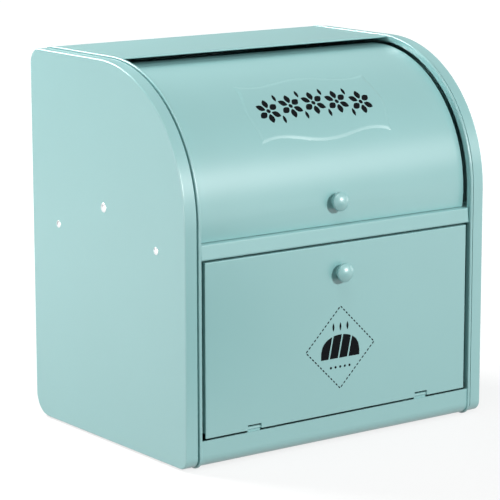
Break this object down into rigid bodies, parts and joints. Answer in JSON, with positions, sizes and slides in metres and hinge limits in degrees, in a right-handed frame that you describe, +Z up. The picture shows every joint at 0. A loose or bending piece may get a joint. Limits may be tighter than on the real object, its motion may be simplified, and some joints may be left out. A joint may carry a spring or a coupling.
{
  "type": "bread box",
  "caption": "Two-tier sheet metal bread box: a quarter-round roll-top door over a drop-front door, each with a round knob, between pressed side panels.",
  "frame": {"origin": "on the table under the middle of the overall size, knobs included", "axes": "+X to the right seen from the front, +Y from the front to the back, +Z upwards"},
  "size_m": [0.3328, 0.255, 0.341],
  "materials": {
    "powder_coat": "satin powder coat",
    "knob_coat": "satin gloss enamel",
    "rivet_metal": "bare",
    "plain_steel": "zinc plated",
    "dark_plastic": "moulded",
    "magnet": "ferrite"
  },
  "bodies": {
    "cabinet": {"side_panel_left": "powder_coat", "side_panel_right": "powder_coat", "body_sheet": "powder_coat", "floor_tray": "powder_coat", "mid_shelf": "powder_coat", "shelf_rivets_left": "rivet_metal", "shelf_rivets_right": "rivet_metal", "pivot_rivet_left": "rivet_metal", "pivot_rivet_right": "rivet_metal", "pivot_spacer_left": "dark_plastic", "pivot_spacer_right": "dark_plastic", "pivot_washer_left": "plain_steel", "pivot_washer_right": "plain_steel", "frame_hinge_leaf_left": "powder_coat", "frame_hinge_leaf_right": "powder_coat", "hinge_pin_left": "plain_steel", "hinge_pin_right": "plain_steel", "catch_case": "dark_plastic", "catch_magnet": "magnet", "catch_rivets": "rivet_metal"},
    "roll_door": {"roll_door_skin": "powder_coat", "roll_door_arm_left": "powder_coat", "roll_door_arm_right": "powder_coat", "roll_door_knob": "knob_coat", "roll_door_knob_screw": "plain_steel"},
    "drop_door": {"drop_door_panel": "powder_coat", "drop_door_knob": "knob_coat", "drop_door_knob_screw": "plain_steel", "door_hinge_leaf_left": "powder_coat", "door_hinge_leaf_right": "powder_coat"}
  },
  "joints": [
    {"name": "roll_door_turn", "type": "hinge", "parent": "cabinet", "child": "roll_door", "pos_m": [0, 0.00795, 0.2103], "axis": [-1, 0, 0], "range_deg": [0, 65]},
    {"name": "drop_door_turn", "type": "hinge", "parent": "cabinet", "child": "drop_door", "pos_m": [0, -0.11365, 0.0282], "axis": [1, 0, 0], "range_deg": [0, 90]}
  ]
}
